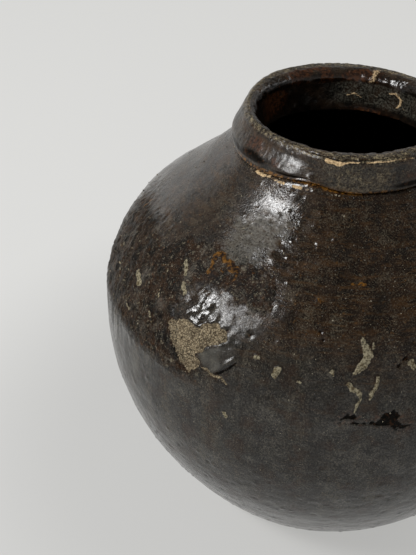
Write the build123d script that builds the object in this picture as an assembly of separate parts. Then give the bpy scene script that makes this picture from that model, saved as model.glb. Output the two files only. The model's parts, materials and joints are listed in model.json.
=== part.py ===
from build123d import *
import os

# A round-shouldered stoneware storage jar, in millimetres.
# The potter builds it up from members of clay that are luted together and fired as one:
# a flat foot slab, a coil pressed into its inside corner, four wall courses whose edges lap in
# bevelled seams, a neck ring, and a rim rolled over that ring with an undercut below it.
# The jar stands on z = 0 with its axis along +Z.
# Sections are drawn as (radius, height) and turned round the axis.

# Outside of the wall: a foot, a knee half way up to the belly, the widest place, a slight keel at
# the belly seam, then the shoulder, which straightens to a throat below the root of the neck
foot_radius = 108.0
belly_radius = 180.4
belly_height = 161.0
shoulder_rise = 141.0
keel_inset = 1.2
keel_lean = 15.0
wall_thickness = 10.0
inner_flats = 8

# Places on the outside as (share of the climb, share of the change in radius)
knee_shares = (0.5, 0.75)
shoulder_shares = (0.67, 0.415)
throat_shares = (0.86, 0.77)

# Foot
slab_thickness = 12.0
foot_bevel = 3.0
coil_width = 17.0

# Seams between the courses, where they come out on the outside: the lower one at its height, one
# a little above the belly, and one below the neck root
lower_seam_height = 88.0
belly_seam_rise = 30.0
neck_seam_drop = 40.0
bevel_drop = 7.0

# Neck ring, which stands on the bevelled top edge of the neck course
mouth_radius = 65.0
neck_root_thickness = 13.0
neck_bevel_drop = 6.0
neck_ring_thickness = 10.5
neck_ring_rise = 14.0
neck_ring_bevel = 4.0

# Rim rolled over the neck ring
rim_rise = 24.4
rim_thickness = 19.0
rim_taper = 2.0
rim_roll_radius = 5.0
rim_outer_round = 5.0
rim_inner_round = 8.0
round_facets = 2

# Blister on the shoulder, where a neighbour stuck to the jar in the kiln and tore its face away
blister_above_seam = 38.0
blister_azimuth = -128.0
blister_curve = 58.0
blister_rise = 7.0
tear_curve = 200.0
tear_depth = 4.5
tear_aside = 8.0
tear_below = 11.0

# Sizes that follow from those above
neck_root_radius = mouth_radius + neck_root_thickness
neck_root_height = belly_height + shoulder_rise
belly_seam_height = belly_height + belly_seam_rise
neck_seam_height = neck_root_height - neck_seam_drop
rim_radius = mouth_radius + rim_thickness
rim_top_radius = rim_radius - rim_taper
rim_top_height = neck_root_height + rim_rise
mouth_corner_height = neck_root_height - neck_bevel_drop
ring_top_height = neck_root_height + neck_ring_rise
reach = belly_radius + foot_radius
HALVINGS = 40
MM3_PER_LITRE = 1e6


def outer_curves():
    """The curves of the wall's outside, in order from the floor up to the neck root."""
    flare = belly_radius - foot_radius
    closing = belly_radius - neck_root_radius
    belly = (belly_radius, belly_height)
    knee = (foot_radius + knee_shares[1] * flare, knee_shares[0] * belly_height)
    keel = (belly_radius - keel_inset, belly_seam_height)
    shoulder, throat = (
        (belly_radius - inwards * closing, belly_height + up * shoulder_rise)
        for up, inwards in (shoulder_shares, throat_shares)
    )
    to_knee = TangentArc(belly, knee, tangent=(0, -1))
    to_foot = TangentArc(knee, (foot_radius, 0), tangent=to_knee % 1)
    to_keel = TangentArc(belly, keel, tangent=(0, 1))
    to_shoulder = TangentArc(keel, shoulder, tangent=Vector(0, 1).rotate(Axis.Z, keel_lean))
    to_throat = Line(shoulder, throat)
    to_neck = TangentArc(throat, (neck_root_radius, neck_root_height), tangent=to_throat % 1)
    return [upwards(to_foot), upwards(to_knee), to_keel, to_shoulder, to_throat, to_neck]


def upwards(arc):
    """An arc that was drawn downwards, run the other way."""
    return ThreePointArc(arc @ 1, arc @ 0.5, arc @ 0)


def outward_normal(curve, share):
    """The unit normal of a climbing curve, on the side away from the axis."""
    along = curve % share
    return Vector(along.Y, -along.X)


def inner_outline(outside):
    """The inside, in beaten flats between points one wall in from the outside, up to the mouth."""
    points = []
    for flat in range(inner_flats):
        share = flat / inner_flats
        points.append(outside @ share - outward_normal(outside, share) * wall_thickness)
    return Polyline(*points, (mouth_radius, mouth_corner_height))


def share_at_height(curve, height):
    """How far along a climbing curve it passes a height, found by halving."""
    low, high = 0.0, 1.0
    for _ in range(HALVINGS):
        middle = (low + high) / 2
        if (curve @ middle).Y < height:
            low = middle
        else:
            high = middle
    return low


def wall_section(outside):
    """The section of the whole jar below the neck as if it were solid, and that of the space inside."""
    inside = inner_outline(outside)
    corner = (mouth_radius, mouth_corner_height)
    on_axis = (0, mouth_corner_height)
    down = inside % 0
    inner_foot = inside @ 0 - down * ((inside @ 0).Y / down.Y)
    root = (neck_root_radius, neck_root_height)
    filled = make_face([outside, Polyline(root, corner, on_axis, (0, 0), (foot_radius, 0))])
    hollow = make_face([inside, Polyline(corner, on_axis, (0, 0), inner_foot, inside @ 0)])
    return filled, hollow


def above(near_axis, far_out):
    """Everything above a line that runs out from the axis."""
    return make_face(Polyline(near_axis, far_out, (reach, rim_top_height), (0, rim_top_height), close=True))


def above_seam(outside, height):
    """Everything above a seam, whose line climbs outwards and leaves the wall at a height."""
    radius = (outside @ share_at_height(outside, height)).X
    slope = bevel_drop / wall_thickness
    return above((0, height - slope * radius), (reach, height + slope * (reach - radius)))


def coil_section(hollow):
    """The coil in the inside corner of the foot, pressed flat across the corner."""
    corner = hollow.vertices().group_by(Axis.Y)[0].sort_by(Axis.X)[-1]
    return hollow - chamfer(corner, coil_width)


def neck_section():
    """The neck ring on its bevelled seat, with its outer top edge bevelled for the rim."""
    ring_radius = mouth_radius + neck_ring_thickness
    seat_slope = neck_bevel_drop / (neck_root_radius - mouth_radius)
    return make_face(
        Polyline(
            (mouth_radius, mouth_corner_height),
            (ring_radius, mouth_corner_height + seat_slope * neck_ring_thickness),
            (ring_radius, ring_top_height - neck_ring_bevel),
            (ring_radius - neck_ring_bevel, ring_top_height),
            (mouth_radius, ring_top_height),
            close=True,
        )
    )


def rounded(before, corner, after, radius):
    """The points of a round between two straight sides, taken in facets."""
    arc = FilletPolyline(before, corner, after, radius=radius).edges()[1]
    return [arc @ (facet / round_facets) for facet in range(round_facets + 1)]


def rim_section(neck):
    """The rim's rolled section round the outside and over the top of the neck ring."""
    root = (neck_root_radius, neck_root_height)
    roll_corner = (rim_radius, neck_root_height)
    outer_corner = (rim_top_radius, rim_top_height)
    inner_corner = (mouth_radius, rim_top_height)
    seat = (mouth_radius, mouth_corner_height)
    outline = Polyline(
        root,
        *rounded(root, roll_corner, outer_corner, rim_roll_radius),
        *rounded(roll_corner, outer_corner, inner_corner, rim_outer_round),
        *rounded(outer_corner, inner_corner, seat, rim_inner_round),
        seat,
        close=True,
    )
    return make_face(outline) - neck


def turned(section):
    """A section turned once round the jar's axis."""
    return revolve(Plane.XZ * section, axis=Axis.Z)


def foot_slab(filled, from_slab):
    """The disc that the jar starts on, with its bottom edge bevelled."""
    slab = turned(filled - from_slab)
    return chamfer(slab.edges().sort_by(Axis.Z)[0], foot_bevel)


def with_blister(course, outside, filled):
    """The shoulder course with a low dome on it, and a broad scoop torn out of the dome's lower side."""
    share = share_at_height(outside, belly_seam_height + blister_above_seam)
    place, normal = outside @ share, outward_normal(outside, share)
    seat = Plane((place.X, 0, place.Y), x_dir=(0, 1, 0), z_dir=(normal.X, 0, normal.Y))
    centre = Vector(0, 0, blister_rise - blister_curve)
    towards_tear = Vector(-tear_aside, -tear_below, blister_curve).normalized()
    scoop = centre + towards_tear * (blister_curve - tear_depth + tear_curve)
    dome = Pos(centre) * Sphere(blister_curve) - Pos(scoop) * Sphere(tear_curve)
    return course + Rot(Z=blister_azimuth) * (seat * dome - turned(filled))


def main():
    outside = Wire(outer_curves())
    filled, hollow = wall_section(outside)
    from_slab = above((0, slab_thickness), (reach, slab_thickness))
    seams = (lower_seam_height, belly_seam_height, neck_seam_height)
    starts = [from_slab] + [above_seam(outside, height) for height in seams]
    wall = filled - hollow
    lower, belly, shoulder = (
        turned((wall & start) - end) for start, end in zip(starts, starts[1:])
    )
    neck = neck_section()
    room = hollow & from_slab
    nodes = {
        "foot_slab": foot_slab(filled, from_slab),
        "foot_coil": turned(coil_section(room)),
        "lower_course": lower,
        "belly_course": belly,
        "shoulder_course": with_blister(shoulder, outside, filled),
        "neck_course": turned(wall & starts[-1]),
        "neck_ring": turned(neck),
        "rolled_rim": turned(rim_section(neck)),
    }
    print("litres to the neck", turned(room).volume / MM3_PER_LITRE)
    os.makedirs("parts", exist_ok=True)
    for name, solid in nodes.items():
        export_step(solid, f"parts/{name}.step")


main()
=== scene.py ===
# %% [markdown]
# A dark glazed storage jar, seen from above on a pale floor. The real one is built up from courses
# of clay, so the scene has one closed piece of mesh for each member, luted edge to edge. This first
# cell loads the solid model, which fixes every size and place. Sizes are in millimetres below, and
# are turned to metres only when a mesh is written.

# %% The fixed frame
import itertools
import json
import math
import bpy
import numpy as np
from mathutils import Matrix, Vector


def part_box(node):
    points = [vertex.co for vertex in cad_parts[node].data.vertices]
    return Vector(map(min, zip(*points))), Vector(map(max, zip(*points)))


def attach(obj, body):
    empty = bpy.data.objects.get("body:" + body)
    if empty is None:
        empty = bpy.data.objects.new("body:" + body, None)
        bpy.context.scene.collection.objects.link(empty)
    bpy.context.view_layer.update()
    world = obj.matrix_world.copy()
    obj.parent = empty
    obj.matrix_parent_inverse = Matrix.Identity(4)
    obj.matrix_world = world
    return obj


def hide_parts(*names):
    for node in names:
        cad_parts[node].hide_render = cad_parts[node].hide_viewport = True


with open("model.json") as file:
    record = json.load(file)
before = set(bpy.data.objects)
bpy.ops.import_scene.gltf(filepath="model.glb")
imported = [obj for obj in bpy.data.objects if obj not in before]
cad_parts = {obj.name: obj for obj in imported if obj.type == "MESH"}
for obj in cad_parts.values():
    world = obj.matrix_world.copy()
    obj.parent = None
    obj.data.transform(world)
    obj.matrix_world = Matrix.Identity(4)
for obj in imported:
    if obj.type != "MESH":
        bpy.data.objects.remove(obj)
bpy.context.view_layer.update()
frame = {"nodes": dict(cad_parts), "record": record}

MM = 0.001

# %% [markdown]
# A turned form is known from its outline alone. The heights of the seams, the rim and the mouth are
# read from the solid model, so that every course ends where its solid ends. The outline itself is a
# chain of arcs, each leaving its start in the direction in which the last one ended, as a hand
# follows a wall.

# %% Sizes of the turned form


def highest(node):
    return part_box(node)[1].z / MM


def widest(node):
    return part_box(node)[1].x / MM


slab_top, lower_seam, belly_seam = (
    highest(node) for node in ("foot_slab", "lower_course", "belly_course")
)
neck_seam, neck_root, ring_top, rim_top = (
    highest(node) for node in ("shoulder_course", "neck_course", "neck_ring", "rolled_rim")
)
mounts = {mount["name"]: mount for mount in frame["record"]["mounts"]}
mouth_radius = mounts["mouth"]["dims"]["r_mm"]
belly_radius = widest("belly_course")
ring_radius = widest("neck_ring")
neck_flare, rim_flare, rim_lean, seat_drop = 13.0, 19.0, 2.0, 6.0
root_radius = mouth_radius + neck_flare
rim_radius = mouth_radius + rim_flare
rim_top_radius = rim_radius - rim_lean
seat_height = neck_root - seat_drop
foot_radius = 108.0
foot_bevel = 3.0
coil_width = 17.0
keel_inset, keel_lean, belly_drop = 1.2, 15.0, 30.0
keel_radius = belly_radius - keel_inset
belly_height = belly_seam - belly_drop
wall = 10.0
knee_shares = (0.5, 0.75)
shoulder_shares = (0.67, 0.415)
throat_shares = (0.86, 0.77)
print("belly", round(belly_radius, 2), "seams", lower_seam, belly_seam, neck_seam, "rim", rim_top)

# %% The outline as a chain of arcs


def tangent_arc(start, heading, end, step=0.25):
    """Points on the arc that leaves start along heading and reaches end, and its last heading."""
    start, heading, end = (np.array(v, float) for v in (start, heading, end))
    heading /= np.linalg.norm(heading)
    side = np.array((-heading[1], heading[0]))
    chord = end - start
    radius = chord @ chord / (2 * (chord @ side))
    turn = 2 * math.atan2(chord @ side, chord @ heading)
    centre = start + side * radius
    angles = np.linspace(0, turn, max(3, int(abs(radius * turn) / step)))
    arm = start - centre
    cos, sin = np.cos(angles), np.sin(angles)
    points = centre + np.stack((arm[0] * cos - arm[1] * sin, arm[0] * sin + arm[1] * cos), axis=1)
    c, s = math.cos(turn), math.sin(turn)
    return points, (heading[0] * c - heading[1] * s, heading[0] * s + heading[1] * c)


def wall_outline():
    """The outside of the wall from the floor to the neck root, as (radius, height) rows."""
    flare, closing = belly_radius - foot_radius, belly_radius - root_radius
    belly = (belly_radius, belly_height)
    knee = (foot_radius + knee_shares[1] * flare, knee_shares[0] * belly_height)
    keel = (keel_radius, belly_seam)
    shoulder, throat = (
        (belly_radius - inwards * closing, belly_height + up * (neck_root - belly_height))
        for up, inwards in (shoulder_shares, throat_shares)
    )
    lean = math.radians(keel_lean)
    to_knee, heading = tangent_arc(belly, (0, -1), knee)
    to_foot, heading = tangent_arc(knee, heading, (foot_radius, 0))
    to_keel, heading = tangent_arc(belly, (0, 1), keel)
    to_shoulder, heading = tangent_arc(keel, (-math.sin(lean), math.cos(lean)), shoulder)
    to_throat = np.linspace(shoulder, throat, 100)
    to_neck, heading = tangent_arc(throat, np.subtract(throat, shoulder), (root_radius, neck_root))
    rows = (to_foot[::-1], to_knee[::-1], to_keel, to_shoulder, to_throat, to_neck)
    return np.concatenate([part[1:] for part in rows])


outline = wall_outline()
outline[0] = (foot_radius, 0)


def edge_normals(points):
    """Unit normals of an open line of points, on its right hand side."""
    run = np.gradient(points, axis=0)
    normals = np.stack((run[:, 1], -run[:, 0]), axis=1)
    return normals / np.linalg.norm(normals, axis=1)[:, None]


outward = edge_normals(outline)


def wall_radius(height):
    return np.interp(height, outline[:, 1], outline[:, 0])


def wall_normal(height):
    """The outside's unit normal at a height, as (radius, height) columns."""
    columns = [np.interp(height, outline[:, 1], outward[:, axis]) for axis in (0, 1)]
    normal = np.stack(columns, axis=-1)
    return normal / np.linalg.norm(normal, axis=-1, keepdims=True)


corners = [
    vertex.co / MM
    for node in ("lower_course", "belly_course")
    for vertex in frame["nodes"][node].data.vertices
]
past = max(math.hypot(corner.x, corner.y) - wall_radius(corner.z) for corner in corners)
print("farthest that the solids' corners lie outside this outline, mm:", round(past, 3))

# %% [markdown]
# The camera stands where the photograph was taken from. Its focal length and place were solved from
# the jar's own outline: it looks down by about 35 degrees from three quarters of a metre away. The
# same numbers let a mark that is seen at a pixel be laid on the wall, along the ray of that pixel.

# %% The camera
PHOTO_WIDE, PHOTO_HIGH = 416, 555
FOCAL_PX = 901.1
camera_place = np.array((-99.6, -590.9, 599.1))
camera_tilt, camera_roll = math.radians(54.55), math.radians(0.21)
camera_turn = Matrix.Rotation(camera_tilt, 3, "X") @ Matrix.Rotation(camera_roll, 3, "Z")


def placed(name, data):
    """A new object of the scene with this data."""
    thing = bpy.data.objects.new(name, data)
    bpy.context.scene.collection.objects.link(thing)
    return thing


camera_data = bpy.data.cameras.new("studio_camera")
camera_data.sensor_width = 36.0
camera_data.lens = camera_data.sensor_width * FOCAL_PX / PHOTO_HIGH
camera = placed("studio_camera", camera_data)
camera.location = camera_place * MM
camera.rotation_euler = camera_turn.to_euler()
bpy.context.scene.camera = camera
print("lens", round(camera_data.lens, 2), "mm")

# %% From a pixel of the photograph to a place on the jar
SEEN_FROM, SEEN_TO, SEEN_STEP = 300.0, 1000.0, 0.2


def on_jar(pixel):
    """The first point of the turned wall or rim, in mm, behind a pixel of the photograph."""
    aim = ((pixel[0] - PHOTO_WIDE / 2) / FOCAL_PX, (PHOTO_HIGH / 2 - pixel[1]) / FOCAL_PX, -1)
    ray = np.array(camera_turn) @ aim
    along = np.arange(SEEN_FROM, SEEN_TO, SEEN_STEP)[:, None]
    points = camera_place + along * ray / np.linalg.norm(ray)
    skin = np.where(points[:, 2] > neck_root, rim_radius, wall_radius(points[:, 2]))
    gap = np.hypot(points[:, 0], points[:, 1]) - skin
    gap[(points[:, 2] < 0) | (points[:, 2] > rim_top)] = SEEN_TO
    return points[np.argmax(gap <= 0) if gap.min() <= 0 else np.argmin(gap)]


middle = (PHOTO_WIDE / 2, PHOTO_HIGH / 2)
print("the middle of the picture falls on the jar at", np.round(on_jar(middle), 1))

# %% [markdown]
# Every member is lathed from its own closed section. The section is a loop of points, close
# together on the outside, where the eye looks, and wide apart inside. Each point carries three
# facts: how far the sculpting may move it, which way is out of the clay, and whether the surface
# breaks there in a sharp edge. Courses meet on the same slanted seam line, so their edges fall on
# each other exactly.

# %% Sections of the wall courses
FINE_ROW, INNER_ROW = 1.15, 5.0
SEAM_SLOPE = 0.7
THROAT_POINTS = 30
throat_radius = root_radius + 16.0
inner_line = outline - outward * wall
inner_line = inner_line[(inner_line[:, 1] > 0) & (inner_line[:, 0] > throat_radius)]
mouth_corner = (mouth_radius, seat_height)
throat = np.linspace(inner_line[-1], mouth_corner, THROAT_POINTS)
inner_line = np.concatenate((inner_line, throat[1:]))


def spaced(points, step):
    """Points at even steps along a line of points, ends included."""
    points = np.asarray(points, float)
    runs = np.linalg.norm(np.diff(points, axis=0), axis=1)
    lengths = np.concatenate(((0,), np.cumsum(runs)))
    at = np.linspace(0, lengths[-1], max(2, round(lengths[-1] / step) + 1))
    return np.stack([np.interp(at, lengths, points[:, axis]) for axis in (0, 1)], axis=1)


def outer_stretch(low, high, step):
    """The outside between two heights, upwards."""
    heights = outline[(outline[:, 1] > low) & (outline[:, 1] < high), 1]
    heights = np.concatenate(((low,), heights, (high,)))
    return spaced(np.stack((wall_radius(heights), heights), axis=1), step)


def inner_crossing(height, slope):
    """Where a seam that leaves the outside at a height reaches the inside."""
    line = height - slope * (wall_radius(height) - inner_line[:, 0])
    above = inner_line[:, 1] - line
    last = np.argmax(above > 0)
    share = above[last - 1] / (above[last - 1] - above[last])
    return inner_line[last - 1] + share * (inner_line[last] - inner_line[last - 1])


def inner_stretch(start, end):
    """The inside between two of its points, downwards."""
    between = inner_line[(inner_line[:, 1] < start[1]) & (inner_line[:, 1] > end[1])][::-1]
    return spaced(np.concatenate(((start,), between, (end,))), INNER_ROW)

# %% One closed loop from its stretches
OUTSIDE, JOINT, INSIDE = 1.0, 0.0, -1.0


def section(*stretches):
    """One loop of points from stretches, each of which ends where the next one starts."""
    loop = {"place": [], "move": [], "out": [], "corner": []}
    last_out = last_move = None
    for points, move in stretches:
        normals, moves = edge_normals(points), np.full(len(points), move)
        if move == JOINT and last_move is not None:
            normals[0], moves[0] = last_out, last_move
        last_out, last_move = normals[-1], moves[-1]
        loop["place"].append(points[:-1])
        loop["move"].append(moves[:-1])
        loop["out"].append(normals[:-1])
        loop["corner"].append(np.arange(len(points) - 1) == 0)
    return {name: np.concatenate(rows) for name, rows in loop.items()}


def joints(*corners, step=wall / 3):
    """Straight runs from corner to corner, which lie against other members and never move."""
    return [(spaced(run, step), JOINT) for run in zip(corners, corners[1:])]


def course(low, high, step, low_slope=SEAM_SLOPE):
    """The section of a wall course between two seams."""
    outside = outer_stretch(low, high, step)
    top, bottom = inner_crossing(high, SEAM_SLOPE), inner_crossing(low, low_slope)
    return section(
        (outside, OUTSIDE),
        *joints(outside[-1], top),
        (inner_stretch(top, bottom), INSIDE),
        *joints(bottom, outside[0]),
    )


loops = {
    "lower_wall": course(slab_top, lower_seam, 2 * FINE_ROW, low_slope=0),
    "belly_wall": course(lower_seam, belly_seam, 1.35 * FINE_ROW),
    "shoulder_wall": course(belly_seam, neck_seam, FINE_ROW),
}
print({name: len(loop["place"]) for name, loop in loops.items()}, "points in each section")

# %% [markdown]
# The neck is where the most handwork shows. The last course ends in a bevelled seat, a ring stands
# on it, and a band of clay is rolled over the ring. Its rounds are arcs between straight runs, so
# each is given by the corner that it softens and its radius.

# %% Sections of the neck, the rim and the foot


def rounded(before, corner, after, radius):
    """Points on the round that softens a corner between two straight runs."""
    before, corner, after = (np.array(v, float) for v in (before, corner, after))
    back = (before - corner) / np.linalg.norm(before - corner)
    on = (after - corner) / np.linalg.norm(after - corner)
    reach = radius / math.tan(math.acos(back @ on) / 2)
    return tangent_arc(corner + back * reach, -back, corner + on * reach)[0]


RING_ROUND, LIP_ROUND, MOUTH_ROUND = 4.0, 5.0, 8.0
root = (root_radius, neck_root)
seat_slope = (neck_root - seat_height) / (root_radius - mouth_radius)
ring_foot = (ring_radius, seat_height + seat_slope * (ring_radius - mouth_radius))
ring_shoulder = (ring_radius, ring_top - RING_ROUND)
ring_crest = (ring_radius - RING_ROUND, ring_top)
ring_inner = (mouth_radius, ring_top)
neck_outside = outer_stretch(neck_seam, neck_root, 0.7 * FINE_ROW)
neck_low = inner_crossing(neck_seam, SEAM_SLOPE)
loops["neck_wall"] = section(
    (neck_outside, OUTSIDE),
    *joints(root, mouth_corner),
    (inner_stretch(mouth_corner, neck_low), INSIDE),
    *joints(neck_low, neck_outside[0]),
)
loops["neck_collar"] = section(
    (spaced((ring_inner, mouth_corner), FINE_ROW), INSIDE),
    *joints(mouth_corner, ring_foot, ring_shoulder, ring_crest, ring_inner),
)
roll_corner = (rim_radius, neck_root)
outer_corner = (rim_top_radius, rim_top)
inner_corner = (mouth_radius, rim_top)
rim_line = (
    (root,),
    rounded(root, roll_corner, outer_corner, LIP_ROUND),
    rounded(roll_corner, outer_corner, inner_corner, LIP_ROUND),
    rounded(outer_corner, inner_corner, ring_inner, MOUTH_ROUND),
    (ring_inner,),
)
loops["rim_band"] = section(
    (spaced(np.concatenate(rim_line), 0.6 * FINE_ROW), OUTSIDE),
    *joints(ring_inner, ring_crest, ring_shoulder, ring_foot, root),
)
slab_outside = outer_stretch(0.8 * foot_bevel, slab_top, 2 * FINE_ROW)
slab_edge = (foot_radius - foot_bevel, 0)
loops["foot_disc"] = section(
    *joints((0, 0), slab_edge, step=wall),
    *joints(slab_edge, slab_outside[0], step=foot_bevel / 3),
    (slab_outside, OUTSIDE),
    *joints(slab_outside[-1], (0, slab_top), step=wall),
)
coil_corner = inner_crossing(slab_top, 0)
up_the_wall = np.linalg.norm(inner_line - coil_corner, axis=1) * (inner_line[:, 1] > slab_top)
coil_top = inner_line[np.argmax(up_the_wall > coil_width)]
coil_toe = (coil_corner[0] - coil_width, slab_top)
loops["corner_coil"] = section(
    *joints(coil_toe, coil_corner, coil_top),
    (spaced((coil_top, coil_toe), wall / 5), INSIDE),
)
print({name: len(loop["place"]) for name, loop in loops.items()}, "points in each section")

# %% [markdown]
# The wheel itself is a Geometry Nodes tree. Its section is turned into a closed curve and swept
# round a circle, which is what a lathe does, and Curve to Mesh hands the section's facts on to
# every point of the ring. The finish is set as the last step. The result is copied out as a plain
# mesh, so that the sculpting below can move its points.

# %% Adding nodes and running a tree


def add(tree, kind, inputs=(), **settings):
    """Adds a node. Each of its inputs gets a value, an output, or the first output of a node."""
    node = tree.nodes.new(kind)
    for name, value in settings.items():
        setattr(node, name, value)
    for key, value in dict(inputs).items():
        if isinstance(value, bpy.types.Node):
            value = value.outputs[0]
        if isinstance(value, bpy.types.NodeSocket):
            tree.links.new(value, node.inputs[key])
        else:
            node.inputs[key].default_value = value
    return node


def geometry_tree(name, inputs):
    """A Geometry Nodes tree that puts out geometry, and the keys of its inputs."""
    tree = bpy.data.node_groups.new(name, "GeometryNodeTree")
    new = tree.interface.new_socket
    new("Geometry", in_out="OUTPUT", socket_type="NodeSocketGeometry")
    keys = {
        label: new(label, in_out="INPUT", socket_type="NodeSocket" + kind).identifier
        for label, kind in inputs.items()
    }
    return tree, keys


def run_tree(piece, tree, keys, values):
    """Runs a Geometry Nodes tree on a piece and keeps what comes out as its plain mesh."""
    modifier = piece.modifiers.new(tree.name, "NODES")
    modifier.node_group = tree
    for label, value in values.items():
        modifier[keys[label]] = value
    bpy.context.view_layer.update()
    evaluated = piece.evaluated_get(bpy.context.evaluated_depsgraph_get())
    mesh = bpy.data.meshes.new_from_object(evaluated)
    piece.modifiers.clear()
    piece.data = mesh

# %% The wheel
wheel, wheel_keys = geometry_tree(
    "potters_wheel",
    {"Section": "Object", "Columns": "Int", "Turning Radius": "Float", "Finish": "Material"},
)
given = add(wheel, "NodeGroupInput").outputs
profile = add(wheel, "GeometryNodeObjectInfo", {"Object": given["Section"]}).outputs["Geometry"]
profile = add(wheel, "GeometryNodeMeshToCurve", {"Mesh": profile})
circle = {"Resolution": given["Columns"], "Radius": given["Turning Radius"]}
circle = add(wheel, "GeometryNodeCurvePrimitiveCircle", circle)
circle = add(wheel, "GeometryNodeSetCurveNormal", {"Curve": circle}, mode="Z_UP")
turned = add(wheel, "GeometryNodeCurveToMesh", {"Curve": circle, "Profile Curve": profile})
merged = add(wheel, "GeometryNodeMergeByDistance", {"Geometry": turned, "Distance": 1e-6})
real = add(wheel, "GeometryNodeRealizeInstances", {"Geometry": merged})
done = add(wheel, "GeometryNodeSetMaterial", {"Geometry": real, "Material": given["Finish"]})
add(wheel, "NodeGroupOutput", {"Geometry": done})
print("nodes of the wheel:", len(wheel.nodes))

# %% From a section to a piece
TURNING_RADIUS = 100.0


def keep(mesh, name, values):
    """Keeps a number or a row of three for each point, under a name that a material can read."""
    values = np.asarray(values, float)
    kind, key = ("FLOAT", "value") if values.ndim == 1 else ("FLOAT_VECTOR", "vector")
    mesh.attributes.new(name, kind, "POINT").data.foreach_set(key, values.ravel())


def turned_piece(name, loop, columns, finish):
    """The piece that a section makes when it is turned once round the axis."""
    count = len(loop["place"])
    spots = np.zeros((count, 3))
    spots[:, 0] = (loop["place"][:, 0] - TURNING_RADIUS) * MM
    spots[:, 1] = -loop["place"][:, 1] * MM
    section_mesh = bpy.data.meshes.new(name + "_section")
    section_mesh.from_pydata(spots.tolist(), [(k, (k + 1) % count) for k in range(count)], [])
    keep(section_mesh, "move", loop["move"])
    keep(section_mesh, "corner", loop["corner"])
    keep(section_mesh, "out", np.column_stack((loop["out"], np.zeros(count))))
    section_object = placed(name + "_section", section_mesh)
    piece = placed(name, bpy.data.meshes.new(name))
    values = {
        "Section": section_object,
        "Columns": columns,
        "Turning Radius": TURNING_RADIUS * MM,
        "Finish": finish,
    }
    run_tree(piece, wheel, wheel_keys, values)
    bpy.data.objects.remove(section_object)
    return piece

# %% [markdown]
# The surface of an old fired jar is uneven at every size, and the light shows it at once. Real
# lumps are made by moving the mesh's points, because relief that is only painted on vanishes in the
# outline. Smooth noise gives the lumps. It is read at the point's own place in space, so that two
# courses agree along their seam, and each layer has a fixed seed.

# %% Lumps of clay from smooth noise
TABLE_SIZE = 4096
HASH = (73856093, 19349663, 83492791)
LATTICE_SHIFT = 4000


def lumps(points, size, seed):
    """Smooth noise from -1 to 1, with lumps about size mm across, at points in mm."""
    table = np.random.default_rng(seed).uniform(-1, 1, TABLE_SIZE)
    spot = points / size + LATTICE_SHIFT
    cell = np.floor(spot).astype(np.int64)
    part = spot - cell
    part = part * part * (3 - 2 * part)
    total = np.zeros(len(points))
    for corner in itertools.product((0, 1), repeat=3):
        key = (cell + corner) * HASH
        value = table[(key[:, 0] ^ key[:, 1] ^ key[:, 2]) % TABLE_SIZE]
        total += value * np.prod(np.where(corner, part, 1 - part), axis=1)
    return total


def ease(value, start, end):
    """A smooth step from 0 at start to 1 at end."""
    share = np.clip((value - start) / (end - start), 0, 1)
    return share * share * (3 - 2 * share)


def hump(value, middle, wide):
    """A soft rise to 1 where a value is at its middle."""
    return np.exp(-(((value - middle) / wide) ** 2))


def degrees_from(azimuth, direction):
    """The turn from a direction, between -180 and 180 degrees."""
    return (azimuth - direction + 180) % 360 - 180


def facing(azimuth, centre, half_width):
    """1 where the jar faces a direction in degrees, fading to 0 at half_width on either side."""
    return 1 - ease(np.abs(degrees_from(azimuth, centre)), 0.4 * half_width, half_width)


def lumpy(points, *layers):
    """The sum of layers of lumps, each a height in mm, a size in mm and a seed."""
    return sum(height * lumps(points, size, seed) for height, size, seed in layers)

# %% [markdown]
# Single marks are laid from the photograph. Each is given by the pixels that it covers. The
# pixels are carried to the wall and drawn in a flat frame that touches the wall there, across and
# up, so that a mark keeps its real size and stays on the clay from any side.

# %% Marks laid on the wall
NEAR = 75.0


def flat_frame(centre):
    """Across and up directions of the wall at a point, in mm space."""
    azimuth = math.atan2(centre[1], centre[0])
    nr, nz = wall_normal(min(centre[2], neck_root))
    across = np.array((-math.sin(azimuth), math.cos(azimuth), 0))
    up = np.array((-nz * math.cos(azimuth), -nz * math.sin(azimuth), nr))
    return across, up


def on_wall(azimuth, height):
    """The point of the turned wall, in mm, at a direction in degrees and a height."""
    radius, angle = wall_radius(height), math.radians(azimuth)
    return np.array((radius * math.cos(angle), radius * math.sin(angle), height))


def drawn(points, places):
    """Points near a mark, and its own corners, laid flat on the wall. Pixels have two numbers."""
    spots = np.array([on_jar(place) if len(place) == 2 else place for place in places])
    centre = spots.mean(axis=0)
    near = np.flatnonzero(np.linalg.norm(points - centre, axis=1) < NEAR)
    axes = np.stack(flat_frame(centre), axis=1)
    return near, (points[near] - centre) @ axes, (spots - centre) @ axes

# %% Strokes, patches and swellings


def stroke_gap(flat, line, widths):
    """How far flat points lie from the edge of a stroke whose half width changes along its line."""
    gap = np.full(len(flat), NEAR)
    for start, end, wide, wide_end in zip(line, line[1:], widths, widths[1:]):
        run = end - start
        share = np.clip((flat - start) @ run / (run @ run), 0, 1)
        reach = np.linalg.norm(flat - start - share[:, None] * run, axis=1)
        gap = np.minimum(gap, reach - wide - (wide_end - wide) * share)
    return gap


def outline_gap(flat, corners):
    """How far flat points lie outside a closed outline. Inside it the distance is negative."""
    ends = np.roll(corners, -1, axis=0)
    gap = stroke_gap(flat, np.concatenate((corners, corners[:1])), np.zeros(len(corners) + 1))
    crossings = np.zeros(len(flat), int)
    for (x0, y0), (x1, y1) in zip(corners, ends):
        spans = (y0 > flat[:, 1]) != (y1 > flat[:, 1])
        crossings += spans & (flat[:, 0] < x0 + (flat[:, 1] - y0) * (x1 - x0) / (y1 - y0 + 1e-9))
    return np.where(crossings % 2 == 1, -gap, gap)


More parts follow.
